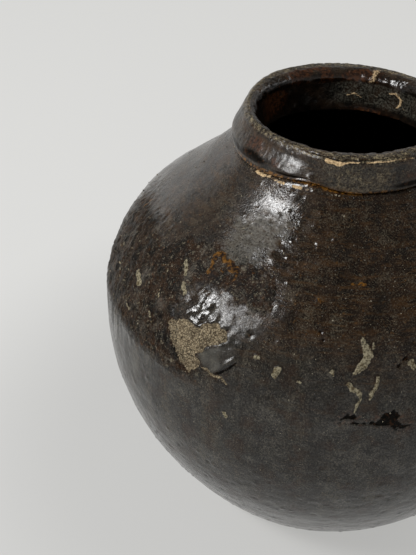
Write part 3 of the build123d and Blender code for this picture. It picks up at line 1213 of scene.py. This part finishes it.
def between(tree, source, low, high, first, last):
    """A value that goes evenly from first to last as a noise goes from low to high."""
    values = {"Value": source, "From Min": low, "From Max": high, "To Min": first, "To Max": last}
    return add(tree, "ShaderNodeMapRange", values)


def mask(tree, name):
    """A mask that the sculpting kept on the mesh."""
    return add(tree, "ShaderNodeAttribute", attribute_name=name).outputs["Fac"]

# %% Masks and layers


def ragged(tree, name, source, width=0.25, push=0.8):
    """A mask from the mesh, roughened by a noise and cut to a crisp edge."""
    values = {0: source, 1: push, 2: mask(tree, name)}
    shaken = add(tree, "ShaderNodeMath", values, operation="MULTIPLY_ADD")
    low = 0.5 + push / 2 - width
    return peaks(tree, shaken, low, low + 2 * width)


def product(tree, parts, factors):
    """Multiplies numbers, parts by their names, and peaks, each a noise's name and two levels."""
    total = None
    for factor in factors:
        if isinstance(factor, tuple):
            factor = peaks(tree, parts[factor[0]], *factor[1:])
        factor = parts.get(factor, factor)
        if total is not None:
            factor = add(tree, "ShaderNodeMath", {0: total, 1: factor}, operation="MULTIPLY")
        total = factor
    return total


def layered(tree, parts, base, *layers):
    """A base colour under its layers. Names stand for the parts that were mixed before."""
    colour = parts.get(base, base)
    for over, *factors in layers:
        colour = blend(tree, product(tree, parts, factors), colour, parts.get(over, over))
    return colour


def drawn_to(tree, parts, value, table):
    """A number that is drawn to others where the parts of a finish lie."""
    for name, other in table:
        value = add(tree, "ShaderNodeMix", {0: parts[name], 2: value, 3: other})
    return value


def shaded(tree, colour, roughness, shine=0.5, relief=()):
    """Ends a finish. Its relief is rows of a height, a depth in mm and a strength."""
    normal = {}
    for height, depth, strength in relief:
        bump = {"Height": height, "Distance": depth * MM, "Strength": strength, **normal}
        normal = {"Normal": add(tree, "ShaderNodeBump", bump)}
    values = {"Base Color": colour, "Roughness": roughness, "Specular IOR Level": shine, **normal}
    shader = add(tree, "ShaderNodeBsdfPrincipled", values)
    add(tree, "ShaderNodeOutputMaterial", {"Surface": shader})

# %% [markdown]
# The glaze is an iron and wood ash glaze, poured over the clay and fired until it ran. To the eye
# it is nearly black and glossy, goes brown where it is thin, and is hazed by fine ash that breaks
# every reflection into sparks. One material holds it all, because on the real jar it is one coat.
# The masks say where, and the tables below say which colours lie over each other there.
# The near black is partly painted shade; the greys of the haze and the flap are partly painted
# sheen.

# %% The glaze as tables of layers
SAND, IRON_SPOT = "#8a7c64", "#261d14"
GLAZE_NOISES = {
    "cloud": (42, 3, 0.6), "mottle": (9, 4, 0.65), "fleck": (2.6, 3, 0.6), "cluster": (14, 2),
    "grain": (1.3, 2, 0.65), "dust": (0.9, 1), "gritty": (1.1, 4, 0.85), "blotch": (17, 4, 0.6),
    "clinker": (3.6, 3, 0.7), "sandy": (8, 2), "streaky": (18, 4, 0.7, 8),
    "running": (12, 3, 0.6, 0.16),
}
GLAZE_MASKS = {
    "warm": ("warm", "cloud", 0.4, 0.9), "ash": ("ash", "mottle", 0.45, 0.7),
    "inner_ash": ("ash", "mottle", 0.4), "scab": ("scab", "mottle", 0.35, 0.9),
    "rust": ("rust", "fleck", 0.3), "soot": ("soot", "gritty", 0.25, 1.0),
    "amber": ("amber", "fleck", 0.3, 0.6), "bare": ("bare", "grain", 0.25, 1.25),
    "torn": ("torn", "fleck", 0.1, 0.9), "crust": ("crust", "fleck", 0.16, 1.0),
    "settling": ("grain", "mottle", 0.4),
}
GLAZE_SHARES = {
    "crusty": ("crust", ("grain", 0.3, 0.42)),
    "granular": ("settling", ("gritty", 0.4, 0.62)),
}
ROUGHNESS = (("satin", 0.34), ("ash", 0.31), ("scab", 0.4), ("granular", 0.65), ("dry", 0.92))
SHINE = (("scab", 0.06), ("ash", 0.05), ("granular", 0.12), ("dry", 0.15), ("soot", 0.05))
CLUSTERED_DUST = (("dust", 0.7, 0.78), ("cluster", 0.46, 0.66))
GLAZE_LAYERS = {
    "thin": (
        "#100a06",
        ("#2a1c10", ("mottle", 0.35, 0.7)),
        ("#3f2a14", ("streaky", 0.48, 0.66), 0.65),
        ("#4d473b", ("gritty", 0.5, 0.64), 0.5),
        ("#5c3f1c", ("fleck", 0.6, 0.74), 0.5),
        ("#7c5c30", *CLUSTERED_DUST),
    ),
    "thick": (
        "#0f0d0a",
        ("#23201a", ("mottle", 0.3, 0.7)),
        ("#433e34", ("grain", 0.5, 0.7), 0.7),
        ("#3a2b1a", ("streaky", 0.52, 0.74), 0.5),
        ("#2a1b10", ("blotch", 0.5, 0.62), 0.6),
        ("#46423a", ("blotch", 0.46, 0.34), ("gritty", 0.42, 0.6), 0.75),
    ),
    "burnt": (
        "#080503",
        ("#2a1a0d", ("mottle", 0.38, 0.62)),
        ("#4e4a42", ("blotch", 0.54, 0.66), ("grain", 0.4, 0.6)),
        ("#5e3713", ("fleck", 0.62, 0.72), 0.5),
        ("#050302", ("fleck", 0.47, 0.38), 0.8),
        ("#6f6857", ("clinker", 0.6, 0.68), 0.75),
        ("#050302", ("gritty", 0.46, 0.36), 0.8),
        ("#8b8474", ("gritty", 0.58, 0.68)),
    ),
    "settled": ("#221d16", ("#93876b", ("fleck", 0.4, 0.7))),
    "wash": (
        "#0d0b09",
        ("#241a12", ("mottle", 0.35, 0.75)),
        ("#4a4840", "inner_ash", ("grain", 0.4, 0.7)),
    ),
    "rusted": ("#1c0f08", ("#492b17", ("fleck", 0.35, 0.7))),
    # Near black for real black runs, and painted shade in hollows, rings, the crease and under the
    # rim.
    "sooted": ("#040302", ("#2a190d", ("fleck", 0.54, 0.64))),
    "smooth": ("#2d2b28", ("#53524d", ("blotch", 0.4, 0.6))),
    "pooled": ("#1a0e05", ("#6b4819", ("fleck", 0.4, 0.66))),
    "dried": (
        "#4d4737",
        ("#8e8670", ("grain", 0.35, 0.65)),
        ("#4d4029", ("fleck", 0.48, 0.38), 0.7),
    ),
    "clay": ("#8a7353", ("#cfb48d", ("grain", 0.3, 0.7))),
    "sand": ("#6a5e4b", (SAND, ("sandy", 0.42, 0.6))),
    "cracked": ("#1c150e", ("#463a2b", ("mottle", 0.36, 0.6))),
    "tear": (
        "cracked",
        ("sand", ("worms", 0.02, 0.19)),
        ("#b0a48a", ("gritty", 0.5, 0.66), 0.8),
        (IRON_SPOT, ("fleck", 0.46, 0.34), 0.7),
    ),
    "coat": (
        "thick",
        ("thin", "warm"),
        ("#5e594c", ("gritty", 0.55, 0.66), 0.6),
        ("#080605", ("gritty", 0.46, 0.34), 0.8),
        ("#0e0a07", ("running", 0.5, 0.66), 0.45),
        ("#554e41", ("running", 0.46, 0.34), ("gritty", 0.42, 0.6), 0.45),
        ("burnt", "scab", 0.85),
        # Pale grey for ash, and painted sheen in the haze and right of the blister.
        ("#64615a", "ash", ("grain", 0.28, 0.64), 0.72),
        ("#857e6d", *CLUSTERED_DUST),
        ("settled", "granular"),
        ("#ad9d7c", "granular", ("gritty", 0.58, 0.66), 0.8),
        ("wash", "inner"),
        ("rusted", "rust", 0.85),
        ("sooted", "soot", 0.9),
        # The flap's grey, made lighter as painted sheen for its satin reflection.
        ("smooth", "flap", 0.6),
        ("pooled", "amber"),
        ("dried", "crusty"),
        ("clay", "bare"),
        ("tear", "torn"),
    ),
}

# %% Mixing the glaze


def worm_cracks(tree, place):
    """The distance from fine bent cracks in torn clay."""
    swirl = add(tree, "ShaderNodeTexNoise", {"Vector": place, "Scale": per(3.5)}).outputs["Color"]
    bend = add(tree, "ShaderNodeVectorMath", {0: swirl, "Scale": 2.6 * MM}, operation="SCALE")
    bent = add(tree, "ShaderNodeVectorMath", {0: place, 1: bend}, operation="ADD")
    cells = {"Vector": bent, "Scale": per(1.9), "Randomness": 1.0}
    return add(tree, "ShaderNodeTexVoronoi", cells, feature="DISTANCE_TO_EDGE").outputs["Distance"]


def iron_ash_glaze():
    """Iron and ash glaze on stoneware, with its crusts, bare clay and torn clay."""
    material, tree, place = new_finish("iron_ash_glaze")
    parts = {name: noise(tree, place, *sizes) for name, sizes in GLAZE_NOISES.items()}
    parts["worms"] = worm_cracks(tree, place)
    for name, (on_mesh, source, *cut) in GLAZE_MASKS.items():
        parts[name] = ragged(tree, on_mesh, parts[source], *cut)
    for name in ("inner", "flap", "satin"):
        parts[name] = mask(tree, name)
    for name, factors in GLAZE_SHARES.items():
        parts[name] = product(tree, parts, factors)
    for name, layers in GLAZE_LAYERS.items():
        parts[name] = layered(tree, parts, *layers)
    parts["dry"] = parts["crusty"]
    for name in ("bare", "torn"):
        either = {0: parts["dry"], 1: parts[name]}
        parts["dry"] = add(tree, "ShaderNodeMath", either, operation="MAXIMUM")
    parts["patchy"] = between(tree, parts["blotch"], 0.35, 0.65, 1.12, 0.72)
    parts["gleam"] = between(tree, parts["grain"], 0.35, 0.65, 0.27, 0.55)
    rough = drawn_to(tree, parts, between(tree, parts["mottle"], 0.3, 0.75, 0.11, 0.24), ROUGHNESS)
    shine = drawn_to(tree, parts, product(tree, parts, ("gleam", "patchy")), SHINE)
    relief = (
        (parts["worms"], 1.0, parts["torn"]),
        (parts["fleck"], 0.11, 1.0),
        (parts["fleck"], 0.8, parts["scab"]),
        (parts["grain"], 0.085, 1.0),
    )
    shaded(tree, parts["coat"], rough, shine, relief)
    return material


glaze = iron_ash_glaze()
print("glaze nodes", len(glaze.node_tree.nodes))

# %% [markdown]
# The jar stands on bare clay, because glaze on the foot would have stuck it to the kiln's shelf.
# The glaze was wiped away in a ragged line just above the floor. What shows is stoneware: sandy,
# dull, with dark spots where iron in the clay melted. It is dry, so it has hardly any shine at all.

# %% The bare foot


def bare_stoneware():
    """Unglazed, wiped and fired stoneware: sandy, dull, with spots of iron."""
    material, tree, place = new_finish("bare_stoneware")
    sizes = {"smoke": 24, "sandy": 1.5, "specks": 2.6}
    parts = {name: noise(tree, place, size, 3.0) for name, size in sizes.items()}
    sandy, smoked = (SAND, ("sandy", 0.35, 0.65)), ("#3a2e22", ("smoke", 0.45, 0.7), 0.6)
    clay = layered(tree, parts, "#453a2b", sandy, smoked, (IRON_SPOT, ("specks", 0.66, 0.72)))
    shaded(tree, clay, 0.9, 0.2, ((parts["sandy"], 0.3, 1.0),))
    return material


bare_clay = bare_stoneware()
print("bare stoneware nodes", len(bare_clay.node_tree.nodes))

# %% The members, turned and sculpted
FINE, COARSE = 960, 256
members = {
    "lower_wall": ("lower_course", "iron_glaze", wall_relief, FINE),
    "belly_wall": ("belly_course", "iron_glaze", wall_relief, FINE),
    "shoulder_wall": ("shoulder_course", "iron_glaze", wall_relief, FINE),
    "neck_wall": ("neck_course", "iron_glaze", wall_relief, FINE),
    "rim_band": ("rolled_rim", "iron_glaze", rim_relief, FINE),
    "neck_collar": ("neck_ring", "inner_glaze", inside_relief, FINE),
    "foot_disc": ("foot_slab", "foot_clay", wall_relief, COARSE),
    "corner_coil": ("foot_coil", "inner_glaze", inside_relief, COARSE),
}
for name, (node, slot, relief_of, columns) in members.items():
    piece = turned_piece(name, loops[name], columns, bare_clay if slot == "foot_clay" else glaze)
    sculpt(piece, relief_of)
    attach(piece, "root")
    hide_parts(node)

# %% [markdown]
# Fly ash also landed on the wet glaze as grit and stayed there as small glassy beads. They are
# hundreds of nearly equal grains, so a second Geometry Nodes tree puts one small faceted ball on
# each of a cloud of points. The points are picked from the sculpted skin itself, so that every bead
# sits in the glaze, and a row of larger ones lies where the photograph shows them under the groove.

# %% Beads of ash
BEAD_COUNT, BEAD_ROOM, SKIN_DEPTH = 760, 1.2, 3.0
BEAD_SQUASH, BEAD_SEED, FULL_TURN = 0.7, 7, 6.28
BEAD_ROW_PX = (
    (322, 194), (327, 196), (331, 197), (335, 197), (339, 198), (344, 199), (349, 199), (353, 199),
)
BEAD_SPOTS_PX = (
    (391, 414), (258, 343), (274, 335), (198, 278), (222, 278), (219, 283), (242, 349), (139, 272),
    (150, 283), (365, 232), (397, 221), (344, 217), (300, 357), (262, 325), (181, 327), (289, 400),
    (274, 425), (148, 248), (199, 278), (187, 255), (170, 289), (133, 317), (152, 320), (242, 347),
    (240, 319), (257, 311),
)


def bead_points():
    """Places and sizes in mm for beads on the sculpted skin, as rows of x, y, z and size."""
    chance = np.random.default_rng(77)
    skins = [bpy.data.objects[name].data for name in ("belly_wall", "shoulder_wall", "neck_wall")]
    skin = np.concatenate([read(mesh, "position", "vector", 3) for mesh in skins]) / MM
    radius = np.hypot(skin[:, 0], skin[:, 1])
    outside = radius > wall_radius(np.clip(skin[:, 2], 0, neck_root)) - SKIN_DEPTH
    skin = skin[outside & (radius < belly_radius - BEAD_ROOM)]
    azimuth, height = np.degrees(np.arctan2(skin[:, 1], skin[:, 0])), skin[:, 2]
    wanted = (0.25 + facing(azimuth, -112, 80)) * ease(height, 120, 190)
    wanted *= (1 - 0.6 * ease(height, 250, 285)) * ease(lumps(skin, 22, 78), -0.5, 0.5)
    picked = skin[chance.choice(len(skin), BEAD_COUNT, replace=False, p=wanted / wanted.sum())]
    rows = [np.column_stack((picked, 0.28 + 0.5 * chance.random(BEAD_COUNT) ** 3))]
    for pixels, size in ((BEAD_ROW_PX, 0.85), (BEAD_SPOTS_PX, 0.8)):
        for pixel in pixels:
            nearest = skin[np.argmin(np.linalg.norm(skin - on_jar(pixel), axis=1))]
            rows.append([[*nearest, size * chance.uniform(0.8, 1.15)]])
    return np.concatenate(rows)

# %% The grit


def ash_grit():
    """Glassy ash grit: pale where it stayed dry, brown where the glaze drew up over it."""
    material, tree, place = new_finish("ash_grit")
    parts = {"patchy": noise(tree, place, 3.0, 1.0)}
    colour = layered(tree, parts, "#211b14", ("#8d8470", ("patchy", 0.48, 0.7)))
    shaded(tree, colour, between(tree, parts["patchy"], 0, 1, 0.12, 0.5))
    return material

# %% Sowing the beads
sowing, sowing_keys = geometry_tree(
    "ash_sowing",
    {"Geometry": "Geometry", "Bead Finish": "Material", "Squash": "Float", "Seed": "Int"},
)
given = add(sowing, "NodeGroupInput").outputs
seeds = add(sowing, "GeometryNodeMeshToPoints", {"Mesh": given["Geometry"]})
bead = add(sowing, "GeometryNodeMeshIcoSphere", {"Radius": 1.0, "Subdivisions": 2})
size = add(sowing, "GeometryNodeInputNamedAttribute", {"Name": "size"}, data_type="FLOAT")
turn = {0: (0, 0, 0), 1: (FULL_TURN,) * 3, "Seed": given["Seed"]}
turn = add(sowing, "FunctionNodeRandomValue", turn, data_type="FLOAT_VECTOR")
shape = add(sowing, "ShaderNodeCombineXYZ", {"X": 1.0, "Y": 1.0, "Z": given["Squash"]})
shape = {0: shape, "Scale": size.outputs["Attribute"]}
shape = add(sowing, "ShaderNodeVectorMath", shape, operation="SCALE")
sown = {"Points": seeds, "Instance": bead, "Rotation": turn, "Scale": shape}
sown = add(sowing, "GeometryNodeInstanceOnPoints", sown)
real = add(sowing, "GeometryNodeRealizeInstances", {"Geometry": sown})
soft = add(sowing, "GeometryNodeSetShadeSmooth", {"Geometry": real})
done = add(sowing, "GeometryNodeSetMaterial", {"Geometry": soft, "Material": given["Bead Finish"]})
add(sowing, "NodeGroupOutput", {"Geometry": done})

spots = bead_points()
bead_mesh = bpy.data.meshes.new("ash_beads")
bead_mesh.from_pydata((spots[:, :3] * MM).tolist(), [], [])
keep(bead_mesh, "size", spots[:, 3] * MM)
beads = placed("ash_beads", bead_mesh)
bead_values = {"Bead Finish": ash_grit(), "Squash": BEAD_SQUASH, "Seed": BEAD_SEED}
run_tree(beads, sowing, sowing_keys, bead_values)
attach(beads, "root")
print("ash beads:", len(spots), "of", len(beads.data.polygons), "triangles in all")

# %% [markdown]
# The photograph was taken on a pale floor by a large window on the left, so the light is one soft
# lamp from the upper left and an even pale room. The floor is large enough to be the whole
# background. It shows the eye a little light of its own, as a white studio floor does, so that the
# shadow stays soft, while the jar is lit only by what the floor really throws back.
# Near the jar that glow is dimmed, which is painted shade round its foot.

# %% Floor
FLOOR_HALF = 4.0
SQUARE = ((-1, -1), (1, -1), (1, 1), (-1, 1))
NEAR_JAR, CLEAR_OF_JAR, PAINTED_SHADE_GLOW = 0.2, 0.44, 0.765
floor_mesh = bpy.data.meshes.new("studio_floor")
floor_corners = [(x * FLOOR_HALF, y * FLOOR_HALF, 0) for x, y in SQUARE]
floor_mesh.from_pydata(floor_corners, [], [(0, 1, 2, 3)])
floor = placed("studio_floor", floor_mesh)


def pale_plaster():
    """Pale plaster: dimmer to camera and mirrored rays, with a glow and painted shade by the jar.
    """
    material, tree, place = new_finish("pale_plaster")
    path = add(tree, "ShaderNodeLightPath").outputs
    seen = path["Is Camera Ray"]
    for ray in ("Is Glossy Ray", "Is Transmission Ray"):
        seen = add(tree, "ShaderNodeMath", {0: seen, 1: path[ray]}, operation="MAXIMUM")
    plain = add(tree, "ShaderNodeBsdfDiffuse", {"Color": srgb("#e2e2de")})
    shown = add(tree, "ShaderNodeBsdfDiffuse", {"Color": (0.185, 0.185, 0.183, 1)})
    # Painted shade: the glow is dimmed near the jar's axis and is full beyond CLEAR_OF_JAR.
    away = add(tree, "ShaderNodeVectorMath", {0: place}, operation="LENGTH").outputs["Value"]
    near = {"Value": away, "From Min": NEAR_JAR, "From Max": CLEAR_OF_JAR, "To Min": PAINTED_SHADE_GLOW}
    near = add(tree, "ShaderNodeMapRange", near, interpolation_type="SMOOTHSTEP")
    glow = add(tree, "ShaderNodeEmission", {"Color": (0.552, 0.551, 0.538, 1), "Strength": near})
    lifted = add(tree, "ShaderNodeAddShader", {0: shown, 1: glow})
    both = add(tree, "ShaderNodeMixShader", {0: seen, 1: plain, 2: lifted})
    add(tree, "ShaderNodeOutputMaterial", {"Surface": both})
    return material


floor_mesh.materials.append(pale_plaster())

# %% Room and window
world = bpy.data.worlds.new("pale_room")
world.use_nodes = True
tree = world.node_tree
sky = add(tree, "ShaderNodeTexCoord").outputs["Generated"]
up = add(tree, "ShaderNodeSeparateXYZ", {"Vector": sky}).outputs["Z"]
dimmer = between(tree, up, 0.05, 0.75, 0.55, 0.14)
background = tree.nodes["Background"].inputs
tree.links.new(dimmer.outputs[0], background["Strength"])
background["Color"].default_value = (1.0, 0.99, 0.97, 1)
bpy.context.scene.world = world
LIT_POINT = (-0.06, -0.08, 0.27)


def soft_light(name, azimuth, elevation, distance, wide, tall, watts):
    """A rectangle of soft light at a direction in degrees from the shoulder, turned towards it."""
    data = bpy.data.lights.new(name, "AREA")
    data.shape, data.size, data.size_y, data.energy = "RECTANGLE", wide, tall, watts
    lamp = placed(name, data)
    turn, tilt = math.radians(azimuth), math.radians(elevation)
    flat = math.cos(tilt)
    back = np.array((flat * math.cos(turn), flat * math.sin(turn), math.sin(tilt)))
    side = np.array((-math.sin(turn), math.cos(turn), 0))
    lamp.location = LIT_POINT + distance * back
    axes = np.stack((side, np.cross(back, side), back), axis=1)
    lamp.rotation_euler = Matrix(axes.tolist()).to_euler()


soft_light("window", 197, 44, 2.6, 0.78, 0.68, 64)
soft_light("pale_wall", 118, 12, 3.0, 2.4, 1.0, 4.5)
soft_light("bounce_card", 22, 32, 3.0, 1.6, 1.0, 13)

bpy.context.scene.view_settings.view_transform = "Standard"
